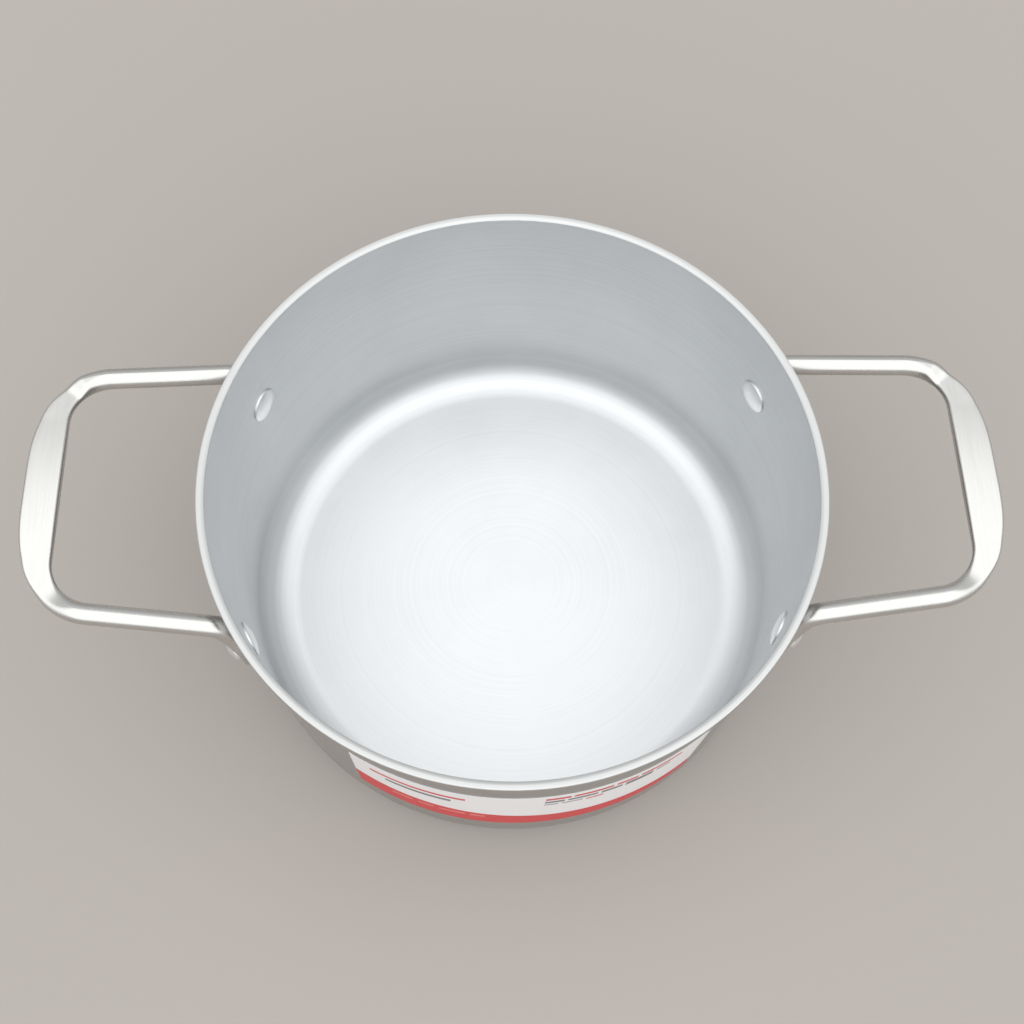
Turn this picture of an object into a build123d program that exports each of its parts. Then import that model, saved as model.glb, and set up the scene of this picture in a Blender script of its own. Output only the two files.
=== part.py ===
from build123d import *
import math
import os

# A two-handled stock pot: a spun aluminium body, two bent steel handles, four solid rivets and a
# wrap label. The origin is at the centre of the base, +Z is up, +X runs through the right handle
# and -Y is the front, where the label is.

# ---- Driving dimensions, in millimetres and degrees ----

# Body
rim_diameter = 241.0
pot_height = 123.0
wall_thickness = 1.2
wall_taper = 1.4
lip_overhang = 2.1
floor_thickness = 3.0
inner_corner_radius = 17.4
outer_corner_radius = 20.0

# Lip, from its crown down to the neck below it
lip_crown_width = 2.0
lip_bevel_depth = 0.7
lip_side_bottom = 4.4
lip_neck_depth = 6.4
lip_round = 0.6
lip_inner_round = 2.4
lip_soft_edge = 0.8

# Foot ring under the base
foot_ring_width = 10.0
base_recess = 0.8
base_recess_run = 4.0

# Rivets
rivet_azimuth = 26.5
rivet_depth = 37.6
shank_radius = 3.25
shank_clearance = 0.05
inner_head_radius = 7.4
inner_head_shoulder = 0.8
inner_head_height = 2.3
inner_head_round = 0.5
outer_head_radius = 5.4
outer_head_shoulder = 1.3
outer_head_height = 3.4
outer_head_round = 0.6
head_bite = 0.5

# Handles: the rod's arms, the corners and the pressed grip
rod_diameter = 8.2
handle_rise = 6.2
arm_start_reach = 117.6
arm_start_depth = 14.5
arm_start_offset = 53.5
arm_spread = 5.06
arm_end_reach = 150.0
grip_inner_reach = 174.0
grip_width = 13.5
grip_top = 3.2
grip_crown = 1.6
grip_bottom = -1.4
grip_edge_round = 1.0
corner_inner_radius = 16.5
bulge_half_length = 40.0
bulge_power = 4
press_start = 34.0
press_end = 52.0
loop_station_count = 15

# Handle ends: the bend down the wall and the flat tab
bend_reach = 110.2
bend_radius = 7.0
tab_width = 16.0
tab_thickness = 4.4
tab_edge_round = 1.3
tab_foot = 2.5
tab_shoulder = 7.0
tab_blend_radius = 12.0
flatten_start = 6.0
flatten_end = 26.0
flatten_power = 1.5
twist_start = 14.0
twist_end = 26.0
wall_gap = 0.1
end_station_count = 15

# The largest corner radius of a rod section, as a share of its smaller side
largest_round = 0.49

# Label
label_azimuth = 272.4
label_half_angle = 35.2
label_top_depth = 29.6
label_bottom_depth = 87.0
label_tilt = 2.0
label_thickness = 0.2

# How far the skin that the label is cut from reaches past it
label_margin = 6.0

# ---- Sizes that follow from them ----

rim_radius = rim_diameter / 2
neck_radius = rim_radius - lip_overhang
taper_slope = math.tan(math.radians(wall_taper))
wall_across = wall_thickness / math.cos(math.radians(wall_taper))
rod_radius = rod_diameter / 2
spread_slope = math.tan(math.radians(arm_spread))
rise_cosine = math.cos(math.radians(handle_rise))


def outer_radius(depth):
    """Radius of the wall's outside at a depth below the top of the lip."""
    return neck_radius - depth * taper_slope


def inner_radius(depth):
    """Radius of the wall's inside at a depth below the top of the lip."""
    return outer_radius(depth) - wall_across


def level(depth):
    """Height above the base of a depth below the top of the lip."""
    return pot_height - depth


def wall_plane(azimuth, depth, shift=0.0):
    """Plane against the outside of the wall, moved outwards by a shift, with its normal outwards."""
    turn = math.radians(azimuth)
    lean = math.radians(wall_taper)
    radius = outer_radius(depth)
    place = (radius * math.cos(turn), radius * math.sin(turn), level(depth))
    tangent = (-math.sin(turn), math.cos(turn), 0)
    normal = (
        math.cos(turn) * math.cos(lean),
        math.sin(turn) * math.cos(lean),
        -math.sin(lean),
    )
    return Plane(origin=place, x_dir=tangent, z_dir=normal).offset(shift)


def ease(share):
    """Smooth step from 0 to 1."""
    share = min(max(share, 0), 1)
    return share * share * (3 - 2 * share)


rivet_azimuths = {
    "rivet_right_rear": rivet_azimuth,
    "rivet_left_rear": 180 - rivet_azimuth,
    "rivet_left_front": 180 + rivet_azimuth,
    "rivet_right_front": -rivet_azimuth,
}

os.makedirs("parts", exist_ok=True)

# ---- Body: one spun shell, turned from its half section ----

foot_outer_radius = outer_radius(pot_height) - outer_corner_radius
foot_inner_radius = foot_outer_radius - foot_ring_width
recess_radius = foot_inner_radius - base_recess_run
crown_inner_radius = rim_radius - lip_crown_width

with BuildPart() as pot_body:
    with BuildSketch(Plane.XZ) as half_section:
        with BuildLine():
            FilletPolyline(
                (0, base_recess),
                (recess_radius, base_recess),
                (foot_inner_radius, 0),
                (outer_radius(pot_height), 0),
                (outer_radius(lip_neck_depth), level(lip_neck_depth)),
                (rim_radius, level(lip_side_bottom)),
                (rim_radius, level(0)),
                (crown_inner_radius, level(0)),
                (inner_radius(lip_bevel_depth), level(lip_bevel_depth)),
                (inner_radius(level(floor_thickness)), floor_thickness),
                (0, floor_thickness),
                radius=[
                    base_recess_run,
                    base_recess_run,
                    outer_corner_radius,
                    lip_soft_edge,
                    lip_soft_edge,
                    lip_round,
                    lip_inner_round,
                    lip_soft_edge,
                    inner_corner_radius,
                ],
            )
            Line((0, floor_thickness), (0, base_recess))
        make_face()
    revolve(axis=Axis.Z)
    for azimuth in rivet_azimuths.values():
        with BuildSketch(wall_plane(azimuth, rivet_depth)):
            Circle(shank_radius + shank_clearance)
        extrude(amount=wall_across + head_bite, both=True, mode=Mode.SUBTRACT)

pot_body.part.label = "pot_body"
export_step(pot_body.part, "parts/pot_body.step")

# ---- Rivets: a low button head inside, a domed head outside, and a shank through wall and tab ----

band_top = rivet_depth - 2 * inner_head_radius
band_bottom = rivet_depth + 2 * inner_head_radius

# A plain piece of the wall, which shapes the seat of the inner heads.
with BuildPart() as wall_band:
    with BuildSketch(Plane.XZ):
        with BuildLine():
            Polyline(
                (inner_radius(band_top), level(band_top)),
                (outer_radius(band_top), level(band_top)),
                (outer_radius(band_bottom), level(band_bottom)),
                (inner_radius(band_bottom), level(band_bottom)),
                close=True,
            )
        make_face()
    revolve(axis=Axis.Z)

tab_outside = wall_gap + tab_thickness
inner_seat = head_bite - wall_across


def head_profile(radius, shoulder, height, round_radius, start, outwards):
    """Half section of a domed head: its foot at start, its crown in the outwards direction."""
    side = start + outwards * shoulder
    crown = start + outwards * height
    rise = height - shoulder
    dome_radius = (radius**2 + rise**2) / (2 * rise)
    with BuildSketch(Plane.XY, mode=Mode.PRIVATE) as profile:
        with BuildLine():
            Polyline((0, crown), (0, start), (radius, start), (radius, side))
            RadiusArc((radius, side), (0, crown), -outwards * dome_radius)
        make_face()
        rim = profile.vertices().sort_by(Axis.X)[-2:].sort_by(Axis.Y)
        fillet(rim[-1] if outwards > 0 else rim[0], round_radius)
    return profile.sketch


for name, azimuth in rivet_azimuths.items():
    seat = wall_plane(azimuth, rivet_depth)
    axis = Axis(seat.origin, seat.z_dir)
    section_plane = Plane(origin=seat.origin, x_dir=seat.x_dir, z_dir=-seat.y_dir)
    with BuildPart() as rivet:
        with BuildSketch(section_plane):
            add(
                head_profile(
                    inner_head_radius,
                    inner_head_shoulder + head_bite,
                    inner_head_height + head_bite,
                    inner_head_round,
                    inner_seat,
                    -1,
                )
            )
        revolve(axis=axis)
        add(wall_band.part, mode=Mode.SUBTRACT)
        with BuildSketch(section_plane):
            add(
                head_profile(
                    outer_head_radius,
                    outer_head_shoulder,
                    outer_head_height,
                    outer_head_round,
                    tab_outside,
                    1,
                )
            )
        revolve(axis=axis)
        with BuildSketch(seat.offset(-wall_across - head_bite)):
            Circle(shank_radius)
        extrude(amount=wall_across + tab_outside + 2 * head_bite)
    rivet.part.label = name
    export_step(rivet.part, f"parts/{name}.step")

# ---- Handles: a rod bent to a loop, pressed flat at the grip and flattened to tabs at the wall ----

# The arms and the grip lie in one plane that rises away from the pot. Its x runs outwards along the
# slope from the pot's axis, its y is +Y and its z stands on the grip's top face.
axis_depth = arm_start_depth + arm_start_reach * math.tan(math.radians(handle_rise))
handle_plane = Plane(
    origin=(0, 0, level(axis_depth)),
    x_dir=(rise_cosine, 0, math.sin(math.radians(handle_rise))),
    z_dir=(-math.sin(math.radians(handle_rise)), 0, rise_cosine),
)
upwards = handle_plane.z_dir


def in_handle(reach, offset, lift=0.0):
    """Point of the handle's plane: its distance out from the axis, its y and its lift."""
    return handle_plane.from_local_coords(Vector(reach / rise_cosine, offset, lift))


def arm_offset(reach):
    """Distance of the arm's centre line from the XZ plane."""
    return arm_start_offset - (reach - arm_start_reach) * spread_slope


def press_amount(distance):
    """How far the rod is pressed flat, from 1 at the grip to 0 past the corner."""
    return ease((press_end - distance) / (press_end - press_start))


def grip_size(distance):
    """Width, top, bottom and edge radius of the handle at a distance along its inner edge."""
    share = min(abs(distance) / bulge_half_length, 1)
    width = rod_diameter + (grip_width - rod_diameter) * (1 - share**bulge_power) ** 2
    pressed = press_amount(abs(distance))
    face = grip_top - grip_crown * (distance / bulge_half_length) ** 2
    top = rod_radius + (face - rod_radius) * pressed
    bottom = -rod_radius + (grip_bottom + rod_radius) * pressed
    round_radius = rod_radius + (grip_edge_round - rod_radius) * pressed
    round_radius = min(round_radius, largest_round * min(width, top - bottom))
    return width, top, bottom, round_radius


# Inner edge of one half of the loop: half of the grip, the corner and the start of the arm.
inner_edge_offset = rod_radius * math.hypot(1, spread_slope * rise_cosine)
with BuildLine(handle_plane) as inner_edge:
    FilletPolyline(
        (grip_inner_reach / rise_cosine, 0),
        (grip_inner_reach / rise_cosine, arm_offset(grip_inner_reach) - inner_edge_offset),
        (arm_end_reach / rise_cosine, arm_offset(arm_end_reach) - inner_edge_offset),
        radius=corner_inner_radius,
    )
inner_wire = inner_edge.wires()[0]
half_length = inner_wire.length
station_step = half_length / (loop_station_count - 1)

loop_stations = []
for index in range(1 - loop_station_count, loop_station_count):
    distance = min(abs(index) * station_step, half_length)
    place = inner_wire.position_at(distance, position_mode=PositionMode.LENGTH)
    along = inner_wire.tangent_at(distance, position_mode=PositionMode.LENGTH)
    if index < 0:
        place = Vector(place.X, -place.Y, place.Z)
        along = Vector(-along.X, along.Y, -along.Z)
    outwards = along.cross(upwards)
    width, top, bottom, round_radius = grip_size(distance)
    middle = place + outwards * (width / 2) + upwards * ((top + bottom) / 2)
    loop_stations.append(
        (Plane(middle, x_dir=outwards, z_dir=along), width, top - bottom, round_radius)
    )

# Centre line of a handle end: up the tab, round the bend and out along the arm.
tab_plane = wall_plane(rivet_azimuth, rivet_depth, wall_gap + tab_thickness / 2)
with BuildLine() as end_line:
    FilletPolyline(
        tab_plane.origin,
        tab_plane.origin + tab_plane.y_dir * tab_shoulder,
        in_handle(bend_reach, arm_offset(bend_reach)),
        in_handle(arm_end_reach, arm_offset(arm_end_reach)),
        radius=[tab_blend_radius, bend_radius],
    )
end_wire = end_line.wires()[0]

tab_across = wall_plane(rivet_azimuth, rivet_depth).x_dir
arm_across = loop_stations[-1][0].x_dir
bend_end = sum(edge.length for edge in end_wire.edges()[:-1])
end_step = (bend_end - flatten_start) / (end_station_count - 1)

end_stations = []
for index in range(end_station_count):
    distance = flatten_start + index * end_step
    place = end_wire.position_at(distance, position_mode=PositionMode.LENGTH)
    along = end_wire.tangent_at(distance, position_mode=PositionMode.LENGTH)
    flatness = 1 - ease((distance - flatten_start) / (flatten_end - flatten_start))
    twist = ease((distance - twist_start) / (twist_end - twist_start))
    across = tab_across + (arm_across - tab_across) * twist
    across = (across - along * across.dot(along)).normalized()
    width = rod_diameter + (tab_width - rod_diameter) * flatness**flatten_power
    thickness = rod_diameter + (tab_thickness - rod_diameter) * flatness
    round_radius = rod_radius + (tab_edge_round - rod_radius) * flatness
    round_radius = min(round_radius, largest_round * min(width, thickness))
    end_stations.append((Plane(place, x_dir=across, z_dir=along), width, thickness, round_radius))

with BuildPart() as handle_loop:
    for plane, width, thickness, round_radius in loop_stations:
        with BuildSketch(plane):
            RectangleRounded(width, thickness, round_radius)
    loft()

with BuildPart() as handle_end:
    with BuildSketch(wall_plane(rivet_azimuth, rivet_depth, wall_gap)):
        with Locations((0, -tab_foot)):
            Circle(tab_width / 2)
            Rectangle(tab_width, tab_foot + flatten_start, align=(Align.CENTER, Align.MIN))
    extrude(amount=tab_thickness)
    tab_top_edge = Axis(end_stations[0][0].origin, tab_plane.x_dir)
    sides = faces().filter_by(Plane(tab_plane.origin, z_dir=tab_plane.z_dir)).edges()
    fillet([edge for edge in sides if not tab_top_edge.is_parallel(Axis(edge))], tab_edge_round)
    for plane, width, thickness, round_radius in end_stations:
        with BuildSketch(plane):
            RectangleRounded(width, thickness, round_radius)
    loft()
    arm_start = end_stations[-1][0]
    arm_length = (loop_stations[-1][0].origin - arm_start.origin).length
    with BuildSketch(arm_start):
        RectangleRounded(rod_diameter, rod_diameter, largest_round * rod_diameter)
    extrude(amount=arm_length)
    with BuildSketch(wall_plane(rivet_azimuth, rivet_depth)):
        Circle(shank_radius + shank_clearance)
    extrude(amount=2 * tab_thickness, mode=Mode.SUBTRACT)

with BuildPart() as handle_right:
    add(handle_loop.part)
    add(handle_end.part)
    mirror(handle_end.part, about=Plane.XZ)

with BuildPart() as handle_left:
    mirror(handle_right.part, about=Plane.YZ)

for name, handle in {"handle_right": handle_right, "handle_left": handle_left}.items():
    handle.part.label = name
    export_step(handle.part, f"parts/{name}.step")

# ---- Label: a thin skin round the front of the wall, cut to a slightly tilted outline ----

skin_top = label_top_depth - label_margin
skin_bottom = label_bottom_depth + label_margin
label_middle = (label_top_depth + label_bottom_depth) / 2
label_half_width = outer_radius(label_middle) * math.sin(math.radians(label_half_angle))
label_face = wall_plane(label_azimuth, label_middle)

with BuildPart() as label:
    with BuildSketch(Plane.XZ):
        with BuildLine():
            Polyline(
                (outer_radius(skin_top), level(skin_top)),
                (outer_radius(skin_top) + label_thickness, level(skin_top)),
                (outer_radius(skin_bottom) + label_thickness, level(skin_bottom)),
                (outer_radius(skin_bottom), level(skin_bottom)),
                close=True,
            )
        make_face()
    revolve(axis=Axis.Z)
    with BuildSketch(label_face.offset(label_margin)):
        with Locations(Rotation(0, 0, -label_tilt)):
            Rectangle(2 * label_half_width, label_bottom_depth - label_top_depth)
    extrude(amount=-rim_radius / 2, mode=Mode.INTERSECT)

label.part.label = "label"
export_step(label.part, "parts/label.step")
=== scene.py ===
import math

import bmesh
import bpy
from mathutils import Matrix, Vector


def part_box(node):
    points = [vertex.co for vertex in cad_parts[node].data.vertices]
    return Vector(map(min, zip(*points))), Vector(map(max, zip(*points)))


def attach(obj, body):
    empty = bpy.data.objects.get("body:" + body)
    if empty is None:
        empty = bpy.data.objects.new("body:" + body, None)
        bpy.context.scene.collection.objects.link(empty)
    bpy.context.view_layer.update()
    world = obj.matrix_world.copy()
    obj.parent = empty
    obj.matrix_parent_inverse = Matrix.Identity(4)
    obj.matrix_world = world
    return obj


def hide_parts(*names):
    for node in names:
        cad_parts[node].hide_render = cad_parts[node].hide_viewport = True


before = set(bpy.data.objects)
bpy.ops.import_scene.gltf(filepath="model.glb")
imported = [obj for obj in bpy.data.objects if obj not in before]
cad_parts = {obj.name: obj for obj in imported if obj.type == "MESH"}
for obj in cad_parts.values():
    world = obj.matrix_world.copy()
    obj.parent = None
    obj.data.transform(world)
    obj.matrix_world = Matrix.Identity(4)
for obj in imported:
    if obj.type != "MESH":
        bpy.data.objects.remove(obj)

# ---------------------------------------------------------------------------------------------
# Sizes of the pot, in millimetres and degrees. The frame gives the outer sizes.
# ---------------------------------------------------------------------------------------------

MM = 0.001
QUARTER_TURN = math.radians(90)

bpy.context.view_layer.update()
body_low, body_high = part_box("pot_body")
RIM_RADIUS = (body_high.x - body_low.x) / 2 / MM
POT_HEIGHT = (body_high.z - body_low.z) / MM

WALL_THICKNESS = 1.2
WALL_TAPER = math.radians(1.4)
LIP_OVERHANG = 2.1
FLOOR_THICKNESS = 3.0

RIVET_AZIMUTH = 26.5
RIVET_DEPTH = 37.6

TAPER_SLOPE = math.tan(WALL_TAPER)
WALL_ACROSS = WALL_THICKNESS / math.cos(WALL_TAPER)
NECK_RADIUS = RIM_RADIUS - LIP_OVERHANG


def outer_radius(depth):
    """Radius of the wall's outside at a depth below the lip's crown."""
    return NECK_RADIUS - depth * TAPER_SLOPE


def inner_radius(depth):
    """Radius of the wall's inside at a depth below the lip's crown."""
    return outer_radius(depth) - WALL_ACROSS


def level(depth):
    """Height above the floor of a depth below the lip's crown."""
    return POT_HEIGHT - depth


def wall_frame(azimuth, depth, shift=0.0):
    """Origin on the wall's outside, and the tangent, upward and outward directions there."""
    turn = math.radians(azimuth)
    radius = outer_radius(depth)
    tangent = Vector((-math.sin(turn), math.cos(turn), 0))
    outwards = Vector((
        math.cos(turn) * math.cos(WALL_TAPER),
        math.sin(turn) * math.cos(WALL_TAPER),
        -math.sin(WALL_TAPER),
    ))
    place = Vector((radius * math.cos(turn), radius * math.sin(turn), level(depth)))
    return place + outwards * shift, tangent, outwards.cross(tangent), outwards


def ease(share):
    """Smooth step from 0 to 1."""
    share = min(max(share, 0.0), 1.0)
    return share * share * (3 - 2 * share)


# ---------------------------------------------------------------------------------------------
# Mesh helpers
# ---------------------------------------------------------------------------------------------


def make_object(name, verts, faces):
    """A smooth-shaded mesh piece from points in millimetres, riding on the one body."""
    mesh = bpy.data.meshes.new(name)
    mesh.from_pydata([tuple(Vector(v) * MM) for v in verts], [], faces)
    shape = bmesh.new()
    shape.from_mesh(mesh)
    bmesh.ops.recalc_face_normals(shape, faces=shape.faces)
    shape.to_mesh(mesh)
    shape.free()
    mesh.shade_smooth()
    piece = bpy.data.objects.new(name, mesh)
    bpy.context.scene.collection.objects.link(piece)
    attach(piece, "root")
    return piece


def rounded_line(points, radii, arc_step=8.0, run_step=None):
    """Points of a line through corners, each corner rounded to a radius, in 2-D or 3-D."""
    corners = [Vector(p) for p in points]
    line = [corners[0]]
    for index in range(1, len(corners) - 1):
        before, here, after = corners[index - 1], corners[index], corners[index + 1]
        back = (before - here).normalized()
        on = (after - here).normalized()
        turn = math.pi - back.angle(on)
        radius = radii[index - 1]
        trim = radius * math.tan(turn / 2)
        start, end = here + back * trim, here + on * trim
        centre = here + (back + on).normalized() * (radius / math.cos(turn / 2))
        count = max(2, math.ceil(math.degrees(turn) / arc_step))
        for step in range(count + 1):
            share = step / count
            a, b = start - centre, end - centre
            line.append(centre + a * (math.sin((1 - share) * turn) / math.sin(turn))
                        + b * (math.sin(share * turn) / math.sin(turn)))
    line.append(corners[-1])
    if run_step is None:
        return line
    filled = [line[0]]
    for here, after in zip(line, line[1:]):
        count = max(1, math.ceil((after - here).length / run_step))
        filled += [here.lerp(after, step / count) for step in range(1, count + 1)]
    return filled


def lathe(name, profile, segments, origin=(0, 0, 0), axes=None):
    """A solid of revolution. The profile runs from axis to axis as (radius, height) points."""
    origin = Vector(origin)
    across, up, along = axes or (Vector((1, 0, 0)), Vector((0, 1, 0)), Vector((0, 0, 1)))
    verts, faces = [], []
    inner = profile[1:-1]
    verts.append(origin + along * profile[0][1])
    for radius, height in inner:
        for step in range(segments):
            turn = 2 * math.pi * step / segments
            verts.append(origin + across * (radius * math.cos(turn))
                         + up * (radius * math.sin(turn)) + along * height)
    verts.append(origin + along * profile[-1][1])
    last = len(verts) - 1
    for step in range(segments):
        after = (step + 1) % segments
        faces.append((0, 1 + after, 1 + step))
        for ring in range(len(inner) - 1):
            base = 1 + ring * segments
            faces.append((base + step, base + after, base + segments + after, base + segments + step))
        base = 1 + (len(inner) - 1) * segments
        faces.append((base + step, base + after, last))
    return make_object(name, verts, faces)


def skin(name, rings):
    """A closed tube through rings of equal point counts, capped at both ends."""
    count = len(rings[0])
    verts = [point for ring in rings for point in ring]
    faces = []
    for ring in range(len(rings) - 1):
        base = ring * count
        for step in range(count):
            after = (step + 1) % count
            faces.append((base + step, base + after, base + count + after, base + count + step))
    faces.append(tuple(reversed(range(count))))
    faces.append(tuple(range(len(verts) - count, len(verts))))
    return make_object(name, verts, faces)


SHORTEST_RUN = 1e-9


def resample(line, step):
    """Points a step apart along a polyline, with the distance of each from its start."""
    lengths = [0.0]
    for here, after in zip(line, line[1:]):
        lengths.append(lengths[-1] + (after - here).length)
    count = max(2, round(lengths[-1] / step))
    places, index = [], 0
    for number in range(count + 1):
        distance = lengths[-1] * number / count
        while index < len(line) - 2 and lengths[index + 1] < distance:
            index += 1
        share = (distance - lengths[index]) / max(lengths[index + 1] - lengths[index], SHORTEST_RUN)
        places.append((distance, line[index].lerp(line[index + 1], share)))
    return places


# ---------------------------------------------------------------------------------------------
# Body
# ---------------------------------------------------------------------------------------------

OUTER_CORNER_RADIUS = 20.0
INNER_CORNER_RADIUS = 17.4
FOOT_RING_WIDTH = 10.0
BASE_RECESS = 0.8
BASE_RECESS_RUN = 4.0
LIP_SIDE_BOTTOM = 4.4
LIP_NECK_DEPTH = 6.4
LIP_CROWN_WIDTH = 2.0
LIP_BEVEL_DEPTH = 0.7
LIP_ROUND = 0.6
LIP_INNER_ROUND = 2.4
LIP_SOFT_EDGE = 0.8
BODY_ARC_STEP = 4.0
BODY_RUN_STEP = 6.0
BODY_SEGMENTS = 288


def make_body():
    """The spun shell: base with foot ring, wall, lip with bevel, inner wall and floor."""
    foot_outer = outer_radius(POT_HEIGHT) - OUTER_CORNER_RADIUS
    foot_inner = foot_outer - FOOT_RING_WIDTH
    corners = [
        (0, BASE_RECESS),
        (foot_inner - BASE_RECESS_RUN, BASE_RECESS),
        (foot_inner, 0),
        (outer_radius(POT_HEIGHT), 0),
        (outer_radius(LIP_NECK_DEPTH), level(LIP_NECK_DEPTH)),
        (RIM_RADIUS, level(LIP_SIDE_BOTTOM)),
        (RIM_RADIUS, level(0)),
        (RIM_RADIUS - LIP_CROWN_WIDTH, level(0)),
        (inner_radius(LIP_BEVEL_DEPTH), level(LIP_BEVEL_DEPTH)),
        (inner_radius(level(FLOOR_THICKNESS)), FLOOR_THICKNESS),
        (0, FLOOR_THICKNESS),
    ]
    radii = [
        BASE_RECESS_RUN,
        BASE_RECESS_RUN,
        OUTER_CORNER_RADIUS,
        LIP_SOFT_EDGE,
        LIP_SOFT_EDGE,
        LIP_ROUND,
        LIP_INNER_ROUND,
        LIP_SOFT_EDGE,
        INNER_CORNER_RADIUS,
    ]
    profile = rounded_line(corners, radii, arc_step=BODY_ARC_STEP, run_step=BODY_RUN_STEP)
    return lathe("pot_shell", [tuple(point) for point in profile], BODY_SEGMENTS)


# ---------------------------------------------------------------------------------------------
# Rivets
# ---------------------------------------------------------------------------------------------

TAB_THICKNESS = 4.4
WALL_GAP = 0.1
TAB_OUTSIDE = WALL_GAP + TAB_THICKNESS
INNER_HEAD_RADIUS = 7.4
INNER_HEAD_SHOULDER = 0.8
INNER_HEAD_HEIGHT = 2.3
INNER_HEAD_ROUND = 0.5
OUTER_HEAD_RADIUS = 5.4
OUTER_HEAD_SHOULDER = 1.3
OUTER_HEAD_HEIGHT = 3.4
OUTER_HEAD_ROUND = 0.6
HEAD_BITE = 0.5
SHANK_RADIUS = 3.25
CAP_STEPS = 14
EDGE_ARC_STEP = 12.0
RIVET_SEGMENTS = 64


def dome(radius, shoulder, height, round_radius):
    """Half outline of a head from its edge at height 0 to its crown, as (radius, height)."""
    rise = height - shoulder
    ball = (radius**2 + rise**2) / (2 * rise)
    half_angle = math.asin(radius / ball)
    cap = []
    for step in range(CAP_STEPS + 1):
        tilt = half_angle * (1 - step / CAP_STEPS)
        cap.append((ball * math.sin(tilt), height - ball + ball * math.cos(tilt)))
    start = round(CAP_STEPS * round_radius / radius) + 1
    corner = rounded_line([(radius, 0.0), (radius, shoulder), cap[start]], [round_radius], EDGE_ARC_STEP)
    return [tuple(point) for point in corner] + cap[start + 1:]


def make_rivet(name, azimuth):
    """A rivet with a low button head inside the wall and a domed head outside the tab."""
    origin, across, up, outwards = wall_frame(azimuth, RIVET_DEPTH)
    inside = dome(INNER_HEAD_RADIUS, INNER_HEAD_SHOULDER, INNER_HEAD_HEIGHT, INNER_HEAD_ROUND)
    outside = dome(OUTER_HEAD_RADIUS, OUTER_HEAD_SHOULDER, OUTER_HEAD_HEIGHT, OUTER_HEAD_ROUND)
    inner_side = [(radius, -WALL_ACROSS - height) for radius, height in reversed(inside)]
    outer_side = [(radius, TAB_OUTSIDE + height) for radius, height in outside]
    inner_end = HEAD_BITE - WALL_ACROSS
    outer_end = TAB_OUTSIDE - HEAD_BITE
    shank = [
        (INNER_HEAD_RADIUS, inner_end),
        (SHANK_RADIUS, inner_end),
        (SHANK_RADIUS, outer_end),
        (OUTER_HEAD_RADIUS, outer_end),
    ]
    profile = inner_side + shank + outer_side
    return lathe(name, profile, RIVET_SEGMENTS, origin, (across, up, outwards))


# ---------------------------------------------------------------------------------------------
# Handles
# ---------------------------------------------------------------------------------------------

ROD_RADIUS = 4.1
HANDLE_RISE = math.radians(6.2)
ARM_START_REACH = 117.6
ARM_START_DEPTH = 14.5
ARM_START_OFFSET = 53.5
SPREAD_SLOPE = math.tan(math.radians(5.06))
GRIP_INNER_REACH = 174.0
GRIP_WIDTH = 13.5
GRIP_TOP = 3.2
GRIP_CROWN = 1.6
GRIP_BOTTOM = -1.4
GRIP_EDGE_ROUND = 1.0
CORNER_INNER_RADIUS = 16.5
BULGE_HALF_LENGTH = 40.0
PRESS_START = 34.0
PRESS_END = 52.0
BEND_REACH = 110.2
BEND_RADIUS = 7.0
TAB_WIDTH = 16.0
TAB_EDGE_ROUND = 1.3
TAB_FOOT = 2.5
TAB_SHOULDER = 7.0
TAB_BLEND_RADIUS = 12.0
FLATTEN_START = 6.0
FLATTEN_END = 26.0
TWIST_START = 14.0
TWIST_END = 26.0
ARM_END_REACH = 150.0
REAR_SHOULDER = (39.5, 45.0)
FRONT_SHOULDER = (40.0, 52.0)
RING_STEP = 0.7
CORNER_STEPS = 7
FLAT_STEPS = 5
LARGEST_ROUND = 0.499
LOOP_ARC_STEP = 1.0
END_ARC_STEP = 2.0
BULGE_POWER = 4
BULGE_FALL_POWER = 2
CROWN_POWER = 2
FLATTEN_POWER = 1.5
FOOT_STEPS = 26
FIRST_FOOT_STEP = 0.35

SLOPE = Vector((math.cos(HANDLE_RISE), 0, math.sin(HANDLE_RISE)))
LIFT = Vector((-math.sin(HANDLE_RISE), 0, math.cos(HANDLE_RISE)))
AXIS_HEIGHT = level(ARM_START_DEPTH + ARM_START_REACH * math.tan(HANDLE_RISE))


def in_handle(reach, offset):
    """Point of the handle's plane from its distance out and its y."""
    return Vector((0, offset, AXIS_HEIGHT)) + SLOPE * (reach / math.cos(HANDLE_RISE))


def arm_offset(reach):
    """Distance of the arm's centre line from the pot's middle plane."""
    return ARM_START_OFFSET - (reach - ARM_START_REACH) * SPREAD_SLOPE


def section(middle, across, up, width, thickness, radius):
    """Ring of points round a rounded rectangle."""
    radius = min(radius, LARGEST_ROUND * width, LARGEST_ROUND * thickness)

    def on_corner(corner, turn):
        """Point of a corner's arc, in the direction of a turn."""
        side = 1 if corner % 4 in (0, 3) else -1
        top = 1 if corner % 4 in (0, 1) else -1
        centre = Vector((side * (width / 2 - radius), top * (thickness / 2 - radius)))
        return centre + Vector((math.cos(turn), math.sin(turn))) * radius

    ring = []
    for corner in range(4):
        for step in range(CORNER_STEPS + 1):
            ring.append(on_corner(corner, QUARTER_TURN * (corner + step / CORNER_STEPS)))
        last = ring[-1]
        after = on_corner(corner + 1, QUARTER_TURN * (corner + 1))
        ring += [last.lerp(after, step / FLAT_STEPS) for step in range(1, FLAT_STEPS)]
    return [middle + across * point.x + up * point.y for point in ring]


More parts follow.
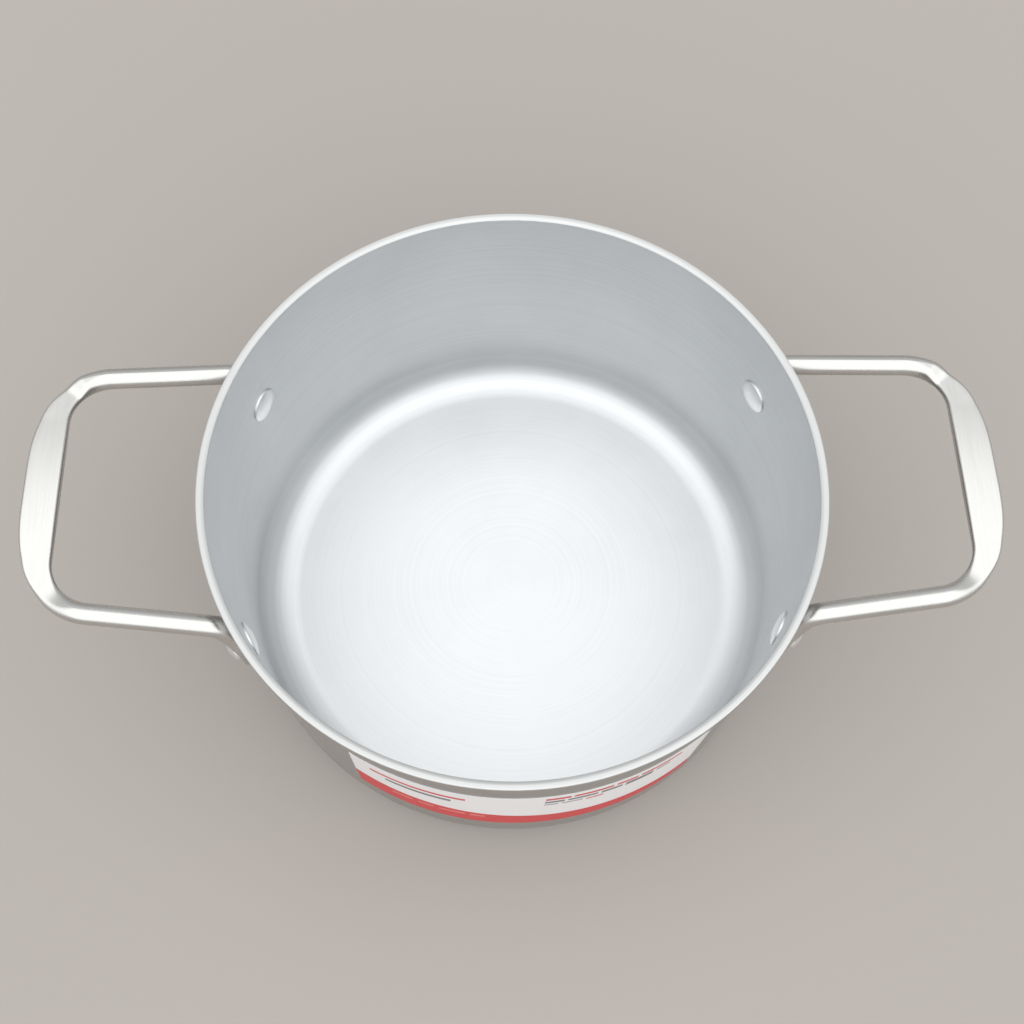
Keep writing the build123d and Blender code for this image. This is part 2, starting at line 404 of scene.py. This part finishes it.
def loop_rings():
    """Rings from the rear arm round the grip to the front arm, on the +X side."""
    offset = ROD_RADIUS * math.hypot(1, SPREAD_SLOPE * math.cos(HANDLE_RISE))
    half = rounded_line(
        [
            in_handle(GRIP_INNER_REACH, 0),
            in_handle(GRIP_INNER_REACH, arm_offset(GRIP_INNER_REACH) - offset),
            in_handle(ARM_END_REACH, arm_offset(ARM_END_REACH) - offset),
        ],
        [CORNER_INNER_RADIUS],
        arc_step=LOOP_ARC_STEP,
    )
    places = resample(half, RING_STEP)
    rings = []
    for side in (1, -1):
        part = []
        for index, (distance, place) in enumerate(places):
            ahead = places[min(index + 1, len(places) - 1)][1]
            behind = places[max(index - 1, 0)][1]
            along = (ahead - behind).normalized()
            outwards = along.cross(LIFT).normalized()
            bulge = max(1 - (distance / BULGE_HALF_LENGTH) ** BULGE_POWER, 0) ** BULGE_FALL_POWER
            width = 2 * ROD_RADIUS + (GRIP_WIDTH - 2 * ROD_RADIUS) * bulge
            pressed = ease((PRESS_END - distance) / (PRESS_END - PRESS_START))
            shoulder = REAR_SHOULDER if side > 0 else FRONT_SHOULDER
            facet = ease((shoulder[1] - distance) / (shoulder[1] - shoulder[0]))
            face = GRIP_TOP - GRIP_CROWN * (distance / BULGE_HALF_LENGTH) ** CROWN_POWER
            top = ROD_RADIUS + (face - ROD_RADIUS) * facet
            bottom = -ROD_RADIUS + (GRIP_BOTTOM + ROD_RADIUS) * pressed
            radius = ROD_RADIUS + (GRIP_EDGE_ROUND - ROD_RADIUS) * pressed
            middle = place + outwards * (width / 2) + LIFT * ((top + bottom) / 2)
            mirror = Vector((1, side, 1))
            part.append(section(middle * mirror, outwards * mirror, LIFT, width, top - bottom, radius))
        rings += list(reversed(part)) if side > 0 else part[1:]
    return rings


def end_rings():
    """Rings from the foot of the rear tab, up and round the bend, to the start of the loop."""
    origin, tangent, up, outwards = wall_frame(RIVET_AZIMUTH, RIVET_DEPTH, WALL_GAP + TAB_THICKNESS / 2)
    centre_line = rounded_line(
        [
            origin,
            origin + up * TAB_SHOULDER,
            in_handle(BEND_REACH, arm_offset(BEND_REACH)),
            in_handle(ARM_END_REACH, arm_offset(ARM_END_REACH)),
        ],
        [TAB_BLEND_RADIUS, BEND_RADIUS],
        arc_step=END_ARC_STEP,
    )
    arm_start = in_handle(BEND_REACH, arm_offset(BEND_REACH))
    arm_end = in_handle(ARM_END_REACH, arm_offset(ARM_END_REACH))
    arm_across = (arm_end - arm_start).normalized().cross(LIFT) * -1
    rings = []
    half_width = TAB_WIDTH / 2
    for step in range(FOOT_STEPS):
        turn = QUARTER_TURN * (step + FIRST_FOOT_STEP) / FOOT_STEPS
        drop = half_width * math.cos(turn)
        width = TAB_WIDTH * math.sin(turn)
        sink = max(0.0, TAB_EDGE_ROUND - (half_width - drop))
        thin = TAB_EDGE_ROUND - math.sqrt(max(TAB_EDGE_ROUND**2 - sink**2, 0.0))
        thickness = TAB_THICKNESS - 2 * thin
        place = origin - up * (TAB_FOOT + drop)
        rings.append(section(place, tangent, outwards * -1, width, thickness, TAB_EDGE_ROUND))
    foot = origin - up * TAB_FOOT
    rings.append(section(foot, tangent, outwards * -1, TAB_WIDTH, TAB_THICKNESS, TAB_EDGE_ROUND))
    places = resample(centre_line, RING_STEP)
    for index, (distance, place) in enumerate(places[:-1]):
        ahead = places[index + 1][1]
        behind = places[max(index - 1, 0)][1]
        along = (ahead - behind).normalized()
        flatness = 1 - ease((distance - FLATTEN_START) / (FLATTEN_END - FLATTEN_START))
        twist = ease((distance - TWIST_START) / (TWIST_END - TWIST_START))
        across = tangent.lerp(arm_across, twist)
        across = (across - along * across.dot(along)).normalized()
        width = 2 * ROD_RADIUS + (TAB_WIDTH - 2 * ROD_RADIUS) * flatness**FLATTEN_POWER
        thickness = 2 * ROD_RADIUS + (TAB_THICKNESS - 2 * ROD_RADIUS) * flatness
        radius = ROD_RADIUS + (TAB_EDGE_ROUND - ROD_RADIUS) * flatness
        rings.append(section(place, across, along.cross(across), width, thickness, radius))
    return rings


def make_handle(name, side):
    """One handle as a single skin. side is 1 for the right one and -1 for the left one."""
    rear = end_rings()
    front = [[point * Vector((1, -1, 1)) for point in ring] for ring in rear]
    loop = loop_rings()
    rings = rear + loop + list(reversed(front))
    rings = [[point * Vector((side, 1, 1)) for point in ring] for ring in rings]
    return skin(name, rings)


# ---------------------------------------------------------------------------------------------
# Label
# ---------------------------------------------------------------------------------------------

LABEL_AZIMUTH = 272.4
LABEL_HALF_ANGLE = math.radians(35.2)
LABEL_TOP_DEPTH = 29.6
LABEL_BOTTOM_DEPTH = 87.0
LABEL_TILT = math.radians(2.0)
LABEL_GAP = 0.02
LABEL_THICKNESS = 0.2
LABEL_SHARP_ANGLE = math.radians(40)
LABEL_COLUMNS = 120
LABEL_ROWS = 12


def make_label():
    """A thin closed skin round the front of the wall, with a map of its width and height."""
    middle_depth = (LABEL_TOP_DEPTH + LABEL_BOTTOM_DEPTH) / 2
    middle_radius = outer_radius(middle_depth)
    half_width = middle_radius * math.sin(LABEL_HALF_ANGLE)
    height = LABEL_BOTTOM_DEPTH - LABEL_TOP_DEPTH
    verts, shares = [], []
    for layer in (LABEL_GAP, LABEL_THICKNESS):
        for row in range(LABEL_ROWS + 1):
            for column in range(LABEL_COLUMNS + 1):
                share_x, share_y = column / LABEL_COLUMNS, row / LABEL_ROWS
                across = (2 * share_x - 1) * half_width
                up = (share_y - 0.5) * height
                turned_across = across * math.cos(LABEL_TILT) + up * math.sin(LABEL_TILT)
                turned_up = up * math.cos(LABEL_TILT) - across * math.sin(LABEL_TILT)
                depth = middle_depth - turned_up
                azimuth = math.radians(LABEL_AZIMUTH) + math.asin(turned_across / middle_radius)
                radius = outer_radius(depth) + layer
                verts.append((radius * math.cos(azimuth), radius * math.sin(azimuth), level(depth)))
                shares.append((share_x, share_y))
    across_count = LABEL_COLUMNS + 1
    layer_count = across_count * (LABEL_ROWS + 1)
    faces = []
    for row in range(LABEL_ROWS):
        for column in range(LABEL_COLUMNS):
            corner = row * across_count + column
            quad = (corner, corner + 1, corner + across_count + 1, corner + across_count)
            faces.append(tuple(reversed(quad)))
            faces.append(tuple(layer_count + index for index in quad))
    border = list(range(across_count))
    border += [row * across_count + LABEL_COLUMNS for row in range(1, LABEL_ROWS + 1)]
    border += [LABEL_ROWS * across_count + column for column in range(LABEL_COLUMNS - 1, -1, -1)]
    border += [row * across_count for row in range(LABEL_ROWS - 1, 0, -1)]
    for here, after in zip(border, border[1:] + border[:1]):
        faces.append((here, after, after + layer_count, here + layer_count))
    piece = make_object("wrap_label", verts, faces)
    layer = piece.data.uv_layers.new(name="label_map")
    for loop in piece.data.loops:
        layer.data[loop.index].uv = shares[loop.vertex_index]
    piece.data.set_sharp_from_angle(angle=LABEL_SHARP_ANGLE)
    return piece


# ---------------------------------------------------------------------------------------------
# Materials
# ---------------------------------------------------------------------------------------------


# Most of a noise texture's values lie between these two.
NOISE_LOW = 0.3
NOISE_HIGH = 0.7


class Paint:
    """A material being built: adds nodes, links them, and keeps its shader."""

    def __init__(self, name):
        self.material = bpy.data.materials.new(name)
        self.material.use_nodes = True
        self.tree = self.material.node_tree
        self.tree.nodes.clear()
        output = self.tree.nodes.new("ShaderNodeOutputMaterial")
        self.shader = self.tree.nodes.new("ShaderNodeBsdfPrincipled")
        self.tree.links.new(self.shader.outputs["BSDF"], output.inputs["Surface"])

    def put(self, socket, value):
        """Links a value into a socket, or sets it there."""
        if isinstance(value, bpy.types.NodeSocket):
            self.tree.links.new(value, socket)
        else:
            socket.default_value = value

    def node(self, kind, inputs, output=0, **settings):
        """Adds a node, fills its inputs by name or number, and gives one output."""
        node = self.tree.nodes.new(kind)
        for name, value in settings.items():
            setattr(node, name, value)
        for name, value in inputs.items():
            self.put(node.inputs[name], value)
        return node.outputs[output]

    def math(self, operation, first, second=0.0, third=0.0):
        """A math node."""
        return self.node("ShaderNodeMath", {0: first, 1: second, 2: third}, operation=operation)

    def scaled(self, vector, scale):
        """A vector stretched by a scale on each axis."""
        return self.node("ShaderNodeVectorMath", {0: vector, 1: scale}, operation="MULTIPLY")

    def noise(self, vector, scale, detail=3.0, roughness=0.5):
        """Noise between about 0 and 1."""
        return self.node("ShaderNodeTexNoise",
                         {"Vector": vector, "Scale": scale, "Detail": detail, "Roughness": roughness})

    def span(self, value, low, high, start=0.0, end=1.0):
        """Maps start..end to low..high, kept inside."""
        return self.node("ShaderNodeMapRange",
                         {"Value": value, "From Min": start, "From Max": end, "To Min": low, "To Max": high})

    def spread(self, noise, low, high):
        """Maps the usual range of a noise texture to low..high."""
        return self.span(noise, low, high, NOISE_LOW, NOISE_HIGH)

    def blend(self, factor, first, second):
        """Mixes two colours."""
        node = self.tree.nodes.new("ShaderNodeMix")
        node.data_type = "RGBA"
        self.put(node.inputs[0], factor)
        self.put(node.inputs[6], first)
        self.put(node.inputs[7], second)
        return node.outputs[2]

    def place(self):
        """Position on the object, in metres."""
        return self.node("ShaderNodeTexCoord", {}, output=3)

    def bump(self, height, strength, distance):
        """Normals of a height map. Distance is in metres."""
        return self.node("ShaderNodeBump",
                         {"Strength": strength, "Distance": distance, "Height": height})

    def set(self, **values):
        """Fills the shader's sockets."""
        for name, value in values.items():
            self.put(self.shader.inputs[name.replace("_", " ")], value)


def spun_place(paint):
    """Coordinates that follow the spinning: distance from the pot's axis, and height."""
    place = paint.place()
    parts = paint.tree.nodes.new("ShaderNodeSeparateXYZ")
    paint.put(parts.inputs[0], place)
    flat = paint.node("ShaderNodeCombineXYZ", {0: parts.outputs[0], 1: parts.outputs[1], 2: 0.0})
    radius = paint.node("ShaderNodeVectorMath", {0: flat}, output="Value", operation="LENGTH")
    return place, radius, parts.outputs[2]


# Each finish has a dark and a light shade, and a smooth and a rough value.
INSIDE_SHADES = ((0.58, 0.592, 0.598, 1), (0.80, 0.805, 0.81, 1))
INSIDE_ROUGHNESS = (0.48, 0.54)
# The outside's shades are darker and warmer than the inside's. This is a painted reflection of dark, warm
# surroundings in the polished outer wall. Its lower roughness is the real finish.
OUTSIDE_PAINTED_REFLECTION_SHADES = ((0.46, 0.453, 0.447, 1), (0.54, 0.533, 0.527, 1))
OUTSIDE_ROUGHNESS = (0.26, 0.32)
LIP_COLOUR = (0.70, 0.70, 0.69, 1)
LIP_FADE_START = 1.0
LIP_FADE_END = 0.6
LIP_EXTRA_ROUGHNESS = 0.12
# Painted light: the base colour is lightened towards the pot's floor, between these heights in metres.
PAINTED_LIGHT_FADE_LOW = 0.005
PAINTED_LIGHT_FADE_HIGH = 0.014
FLOOR_PAINTED_LIGHT = 0.6
SPIN_LINE_SCALE = 650.0
SPIN_LINE_SHADE = 0.1
SPIN_LINE_ROUGHNESS = 0.01
SPIN_LINE_RELIEF = 0.2
CLOUD_SCALE = 14.0
CLOUD_SHADES = (0.1, 0.5)
GRAIN_SCALE = 2600.0
GRAIN_RELIEF = 0.25
FINE_DEPTH = 0.00002


def body_material(name, shades, roughness_range):
    """Spun aluminium: faint spinning lines, soft clouding and a fine grain, with painted light that makes it
    brighter on and near the pot's floor.
    """
    paint = Paint(name)
    place, radius, height = spun_place(paint)
    spun = paint.node("ShaderNodeCombineXYZ", {0: radius, 1: height, 2: 0.0})
    lines = paint.noise(spun, SPIN_LINE_SCALE, detail=2.0, roughness=0.6)
    clouds = paint.noise(place, CLOUD_SCALE, detail=3.0, roughness=0.55)
    grain = paint.noise(place, GRAIN_SCALE, detail=2.0, roughness=0.6)
    # Painted light: a lighter base colour near the floor, on the inside and the outside alike.
    painted_floor_light = paint.span(height, 1.0, 0.0, PAINTED_LIGHT_FADE_LOW, PAINTED_LIGHT_FADE_HIGH)
    line_shade = paint.spread(lines, -SPIN_LINE_SHADE, SPIN_LINE_SHADE)
    shade = paint.math("ADD", line_shade, paint.spread(clouds, *CLOUD_SHADES))
    shade = paint.math("ADD", shade, paint.math("MULTIPLY", painted_floor_light, FLOOR_PAINTED_LIGHT))
    fade_start = (POT_HEIGHT - LIP_FADE_START) * MM
    fade_end = (POT_HEIGHT - LIP_FADE_END) * MM
    on_lip = paint.span(height, 0.0, 1.0, fade_start, fade_end)
    colour = paint.blend(on_lip, paint.blend(shade, *shades), LIP_COLOUR)
    line_roughness = paint.spread(lines, -SPIN_LINE_ROUGHNESS, SPIN_LINE_ROUGHNESS)
    roughness = paint.math("ADD", paint.spread(clouds, *roughness_range), line_roughness)
    roughness = paint.math("ADD", roughness, paint.math("MULTIPLY", on_lip, LIP_EXTRA_ROUGHNESS))
    relief = paint.math("ADD", paint.math("MULTIPLY", lines, SPIN_LINE_RELIEF), grain)
    paint.set(Base_Color=colour, Metallic=1.0, Roughness=roughness,
              Normal=paint.bump(relief, GRAIN_RELIEF, FINE_DEPTH))
    return paint.material


STEEL_SHADES = ((0.60, 0.587, 0.562, 1), (0.63, 0.62, 0.60, 1))
STEEL_ROUGHNESS = (0.25, 0.29)
SMEAR_SCALE = 60.0
DRAWN_GRAIN = (120.0, 2600.0, 2600.0)
DRAWN_ROUGHNESS = 0.01
DRAWN_RELIEF = 0.05
DRAWN_DEPTH = 0.00001


def steel_material():
    """Polished stainless rod with a fine drawn grain and small smears."""
    paint = Paint("polished_steel")
    place = paint.place()
    smears = paint.noise(place, SMEAR_SCALE, detail=4.0, roughness=0.6)
    drawn = paint.noise(paint.scaled(place, DRAWN_GRAIN), 1.0, detail=2.0, roughness=0.5)
    drawn_roughness = paint.spread(drawn, -DRAWN_ROUGHNESS, DRAWN_ROUGHNESS)
    roughness = paint.math("ADD", paint.spread(smears, *STEEL_ROUGHNESS), drawn_roughness)
    paint.set(Base_Color=paint.blend(smears, *STEEL_SHADES), Metallic=1.0, Roughness=roughness,
              Normal=paint.bump(drawn, DRAWN_RELIEF, DRAWN_DEPTH))
    return paint.material


BRUSHED_SHADES = ((0.62, 0.607, 0.58, 1), (0.67, 0.66, 0.64, 1))
BRUSHED_ROUGHNESS = (0.26, 0.34)
BRUSH_GRAIN = (2600.0, 40.0, 60.0)
BRUSH_RELIEF = 0.3
STREAK_GRAIN = (700.0, 16.0, 30.0)
STREAK_ROUGHNESS = 0.02
STREAK_LOW = 0.25
STREAK_HIGH = 0.75


def brushed_material():
    """Steel brushed along the grip."""
    paint = Paint("brushed_steel")
    place = paint.place()
    brush = paint.noise(paint.scaled(place, BRUSH_GRAIN), 1.0, detail=3.0, roughness=0.65)
    streaks = paint.noise(paint.scaled(place, STREAK_GRAIN), 1.0, detail=3.0, roughness=0.6)
    colour = paint.blend(paint.span(streaks, 0.0, 1.0, STREAK_LOW, STREAK_HIGH), *BRUSHED_SHADES)
    streak_roughness = paint.spread(streaks, -STREAK_ROUGHNESS, STREAK_ROUGHNESS)
    roughness = paint.math("ADD", paint.spread(brush, *BRUSHED_ROUGHNESS), streak_roughness)
    round_pot = paint.node("ShaderNodeTangent", {}, direction_type="RADIAL", axis="Z")
    paint.set(Base_Color=colour, Metallic=1.0, Roughness=roughness,
              Normal=paint.bump(brush, BRUSH_RELIEF, FINE_DEPTH),
              Anisotropic=0.8, Anisotropic_Rotation=0.25, Tangent=round_pot)
    return paint.material


RIVET_SHADES = ((0.86, 0.86, 0.86, 1), (0.92, 0.92, 0.92, 1))
RIVET_ROUGHNESS = (0.36, 0.44)
RIVET_CLOUD_SCALE = 240.0
PIT_SCALE = 2200.0


def rivet_material():
    """Bright satin aluminium with soft clouding and fine pits."""
    paint = Paint("rivet_aluminium")
    place = paint.place()
    clouds = paint.noise(place, RIVET_CLOUD_SCALE, detail=3.0, roughness=0.6)
    pits = paint.noise(place, PIT_SCALE, detail=2.0, roughness=0.6)
    paint.set(Base_Color=paint.blend(clouds, *RIVET_SHADES), Metallic=1.0,
              Roughness=paint.spread(clouds, *RIVET_ROUGHNESS),
              Normal=paint.bump(pits, GRAIN_RELIEF, FINE_DEPTH))
    return paint.material


LABEL_SHADES = ((0.80, 0.785, 0.785, 1), (0.86, 0.845, 0.845, 1))
LABEL_ROUGHNESS = (0.28, 0.36)
FIBRE_SCALE = 900.0
FIBRE_RELIEF = 0.1
GREY = (0.16, 0.16, 0.17, 1)
PALE_GREY = (0.34, 0.33, 0.34, 1)
RED = (0.62, 0.014, 0.022, 1)
BAND_LEFT_TOP = 0.42
BAND_SLOPE = 0.22
PALE_RED = (0.78, 0.20, 0.17, 1)
# Plain bars as shares of the label: left, right, low, high, colour.
LABEL_BARS = (
    (0.05, 0.31, 0.78, 0.84, RED),
    (0.09, 0.27, 0.65, 0.72, GREY),
    (0.10, 0.16, 0.24, 0.29, PALE_RED),
    (0.175, 0.22, 0.23, 0.28, PALE_RED),
    (0.235, 0.31, 0.22, 0.27, PALE_RED),
    (0.325, 0.37, 0.21, 0.26, PALE_RED),
    (0.53, 0.60, 0.87, 0.93, RED),
    (0.61, 0.72, 0.87, 0.93, RED),
    (0.73, 0.79, 0.87, 0.93, RED),
    (0.80, 0.92, 0.87, 0.93, RED),
    (0.53, 0.585, 0.77, 0.83, GREY),
    (0.595, 0.68, 0.77, 0.83, GREY),
    (0.69, 0.75, 0.76, 0.83, GREY),
    (0.76, 0.84, 0.74, 0.84, GREY),
    (0.85, 0.89, 0.77, 0.83, PALE_GREY),
    (0.53, 0.57, 0.69, 0.73, PALE_GREY),
    (0.58, 0.64, 0.69, 0.73, PALE_GREY),
    (0.65, 0.70, 0.67, 0.71, RED),
)


def label_material():
    """Satin printed film: pale ground, red lower band, and plain bars where printing would be."""
    paint = Paint("label_film")
    spot = paint.node("ShaderNodeUVMap", {}, uv_map="label_map")
    parts = paint.tree.nodes.new("ShaderNodeSeparateXYZ")
    paint.put(parts.inputs[0], spot)
    across, up = parts.outputs[0], parts.outputs[1]
    fibre = paint.noise(paint.place(), FIBRE_SCALE, detail=3.0, roughness=0.6)

    def box(left, right, low, high):
        """Mask of a rectangle on the label."""
        inside_x = paint.math("COMPARE", across, (left + right) / 2, (right - left) / 2)
        inside_y = paint.math("COMPARE", up, (low + high) / 2, (high - low) / 2)
        return paint.math("MULTIPLY", inside_x, inside_y)

    colour = paint.blend(fibre, *LABEL_SHADES)
    band_top = paint.math("MULTIPLY_ADD", across, -BAND_SLOPE, BAND_LEFT_TOP)
    colour = paint.blend(paint.math("LESS_THAN", up, band_top), colour, RED)
    for left, right, low, high, shade in LABEL_BARS:
        colour = paint.blend(box(left, right, low, high), colour, shade)
    paint.set(Base_Color=colour, Roughness=paint.spread(fibre, *LABEL_ROUGHNESS), Specular_IOR_Level=0.2,
              Normal=paint.bump(fibre, FIBRE_RELIEF, FINE_DEPTH))
    return paint.material


STUDIO_FLOOR_SHADES = ((0.385, 0.35, 0.32, 1), (0.41, 0.375, 0.345, 1))
STUDIO_CLOUD_SCALE = 1.5


def floor_material():
    """Pale matte studio floor with the slightest clouding."""
    paint = Paint("studio_floor")
    clouds = paint.noise(paint.place(), STUDIO_CLOUD_SCALE, detail=2.0, roughness=0.5)
    paint.set(Base_Color=paint.blend(clouds, *STUDIO_FLOOR_SHADES), Roughness=0.8, Specular_IOR_Level=0.2)
    return paint.material


# ---------------------------------------------------------------------------------------------
# Pieces
# ---------------------------------------------------------------------------------------------


def finish_piece(piece, slot, node, *materials):
    """Gives a piece its materials and hides the CAD node it stands for. The slot is not used."""
    for material in materials:
        piece.data.materials.append(material)
    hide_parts(node)


# How a face's direction and place choose between a piece's two materials.
UPRIGHT_LIMIT = 0.5
UNDERSIDE_LIMIT = -0.1
FLAT_TO_GRIP = 0.995
GRIP_START = 0.16

inside_aluminium = body_material("anodised_aluminium", INSIDE_SHADES, INSIDE_ROUGHNESS)
outside_aluminium_painted_dark = body_material("bare_aluminium_painted_reflection", OUTSIDE_PAINTED_REFLECTION_SHADES, OUTSIDE_ROUGHNESS)
steel = steel_material()
brushed = brushed_material()
rivet_metal = rivet_material()

shell = make_body()
finish_piece(shell, "body_aluminium", "pot_body", inside_aluminium, outside_aluminium_painted_dark)
# Outer and under faces take the outside material, whose darker, warmer colour is a painted reflection.
for face in shell.data.polygons:
    outwards = Vector((face.center.x, face.center.y, 0)).dot(face.normal) > 0
    below_lip = face.center.z < (POT_HEIGHT - LIP_NECK_DEPTH) * MM
    near_wall = face.center.xy.length > inner_radius(POT_HEIGHT) * MM
    outer_side = outwards and near_wall and face.normal.z < UPRIGHT_LIMIT
    underside = below_lip and face.normal.z < UNDERSIDE_LIMIT
    face.material_index = 1 if outer_side or underside else 0

rivet_azimuths = {
    "rivet_right_rear": RIVET_AZIMUTH,
    "rivet_left_rear": 180 - RIVET_AZIMUTH,
    "rivet_left_front": 180 + RIVET_AZIMUTH,
    "rivet_right_front": -RIVET_AZIMUTH,
}
for node, azimuth in rivet_azimuths.items():
    finish_piece(make_rivet(node + "_heads", azimuth), "rivet_aluminium", node, rivet_metal)

for node, side in {"handle_right": 1, "handle_left": -1}.items():
    handle = make_handle(node + "_rod", side)
    finish_piece(handle, "handle_steel", node, steel, brushed)
    facing = Vector((LIFT.x * side, LIFT.y, LIFT.z))
    for face in handle.data.polygons:
        flat = face.normal.dot(facing) > FLAT_TO_GRIP
        beyond = face.center.x * side > GRIP_START
        face.material_index = 1 if flat and beyond else 0

finish_piece(make_label(), "label_film", "label", label_material())

# ---------------------------------------------------------------------------------------------
# Floor, light and camera
# ---------------------------------------------------------------------------------------------

FLOOR_SIZE = 6.0

floor_mesh = bpy.data.meshes.new("studio_floor")
half = FLOOR_SIZE / 2
floor_corners = [(-half, -half, 0), (half, -half, 0), (half, half, 0), (-half, half, 0)]
floor_mesh.from_pydata(floor_corners, [], [(0, 1, 2, 3)])
studio_floor = bpy.data.objects.new("studio_floor", floor_mesh)
bpy.context.scene.collection.objects.link(studio_floor)
floor_mesh.materials.append(floor_material())

# A soft dome: a wide bright patch overhead and towards the front, with dimmer light all round it.
SKY_AXIS = (0.0, -0.45, 0.89)
SKY_LOW = 0.42
# Each step rises smoothly: from, to, added light.
SKY_STEPS = (
    (-0.5, 0.40, 0.30),
    (0.46, 0.62, 1.02),
)
SKY_TINT = (0.97, 0.99, 1.0, 1)

world = bpy.data.worlds.new("studio")
bpy.context.scene.world = world
world.use_nodes = True
sky = world.node_tree.nodes
sky_links = world.node_tree.links
direction = sky.new("ShaderNodeTexCoord")
towards_axis = sky.new("ShaderNodeVectorMath")
towards_axis.operation = "DOT_PRODUCT"
towards_axis.inputs[1].default_value = SKY_AXIS
sky_links.new(direction.outputs["Generated"], towards_axis.inputs[0])
total = None
for start, end, amount in SKY_STEPS:
    step = sky.new("ShaderNodeMapRange")
    step.interpolation_type = "SMOOTHSTEP"
    step.inputs["From Min"].default_value = start
    step.inputs["From Max"].default_value = end
    step.inputs["To Max"].default_value = amount
    sky_links.new(towards_axis.outputs["Value"], step.inputs["Value"])
    plus = sky.new("ShaderNodeMath")
    plus.inputs[0].default_value = SKY_LOW
    if total:
        sky_links.new(total, plus.inputs[0])
    sky_links.new(step.outputs["Result"], plus.inputs[1])
    total = plus.outputs[0]
sky["Background"].inputs["Color"].default_value = SKY_TINT
sky_links.new(total, sky["Background"].inputs["Strength"])

CAMERA_PLACE = Vector((-0.0080, -0.2063, 0.5606))
CAMERA_YAW = math.radians(2.20)
CAMERA_PITCH = math.radians(66.50)
CAMERA_ROLL = math.radians(0.93)
CAMERA_LENS = 44.6
SENSOR_WIDTH = 36.0

forward = Vector((
    math.sin(CAMERA_YAW) * math.cos(CAMERA_PITCH),
    math.cos(CAMERA_YAW) * math.cos(CAMERA_PITCH),
    -math.sin(CAMERA_PITCH),
))
level_right = Vector((math.cos(CAMERA_YAW), -math.sin(CAMERA_YAW), 0))
level_up = level_right.cross(forward)
right = level_right * math.cos(CAMERA_ROLL) + level_up * math.sin(CAMERA_ROLL)
upward = level_up * math.cos(CAMERA_ROLL) - level_right * math.sin(CAMERA_ROLL)

camera_data = bpy.data.cameras.new("camera")
camera_data.lens = CAMERA_LENS
camera_data.sensor_width = SENSOR_WIDTH
camera = bpy.data.objects.new("camera", camera_data)
bpy.context.scene.collection.objects.link(camera)
camera.matrix_world = Matrix((
    (right.x, upward.x, -forward.x, CAMERA_PLACE.x),
    (right.y, upward.y, -forward.y, CAMERA_PLACE.y),
    (right.z, upward.z, -forward.z, CAMERA_PLACE.z),
    (0, 0, 0, 1),
))
bpy.context.scene.camera = camera
bpy.context.scene.view_settings.view_transform = "Standard"
